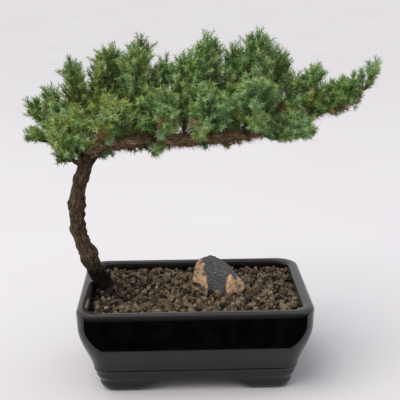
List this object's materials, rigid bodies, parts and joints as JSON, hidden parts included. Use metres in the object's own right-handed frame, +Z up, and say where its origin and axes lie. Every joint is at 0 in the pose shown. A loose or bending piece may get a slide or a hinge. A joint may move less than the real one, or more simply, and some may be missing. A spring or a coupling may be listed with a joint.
{
  "type": "potted bonsai tree",
  "caption": "Small bonsai with a leaning trunk that bends into one long level leader with a raised crown of needle foliage, in a black glazed rectangular pot with gravel and a stone.",
  "frame": {"origin": "on the ground under the middle of the plant and pot together, at the height of the pot's feet", "axes": "+Z up, X along the pot's length with the leader and the crown's tip towards +X and the trunk at -X, -Y to the pot's front"},
  "size_m": [0.3048, 0.149, 0.3044],
  "materials": {
    "pot_glaze": "gloss",
    "soil_gravel": "matte",
    "accent_stone": "matte",
    "bark": "matte",
    "foliage": "matte"
  },
  "bodies": {
    "root": {"pot": "pot_glaze", "soil": "soil_gravel", "stone": "accent_stone", "trunk": "bark", "leader": "bark", "bough_front_1": "bark", "bough_front_2": "bark", "bough_front_3": "bark", "bough_front_4": "bark", "bough_front_5": "bark", "bough_back_1": "bark", "bough_back_2": "bark", "bough_back_3": "bark", "bough_back_4": "bark", "bough_back_5": "bark", "bough_left_low": "bark", "bough_left_high": "bark", "foliage_crest_1": "foliage", "foliage_crest_2": "foliage", "foliage_crest_3": "foliage", "foliage_crest_4": "foliage", "foliage_crest_5": "foliage", "foliage_crest_6": "foliage", "foliage_crest_7": "foliage", "foliage_crest_8": "foliage", "foliage_crest_9": "foliage", "foliage_crest_10": "foliage", "foliage_crest_11": "foliage", "foliage_crest_12": "foliage", "foliage_front_1": "foliage", "foliage_front_2": "foliage", "foliage_front_3": "foliage", "foliage_front_4": "foliage", "foliage_front_5": "foliage", "foliage_back_1": "foliage", "foliage_back_2": "foliage", "foliage_back_3": "foliage", "foliage_back_4": "foliage", "foliage_back_5": "foliage", "foliage_left_low": "foliage", "foliage_left_high": "foliage", "foliage_left_spur": "foliage", "foliage_left_under": "foliage", "foliage_right_low": "foliage", "foliage_under_spray": "foliage", "foliage_tip": "foliage"}
  },
  "joints": []
}
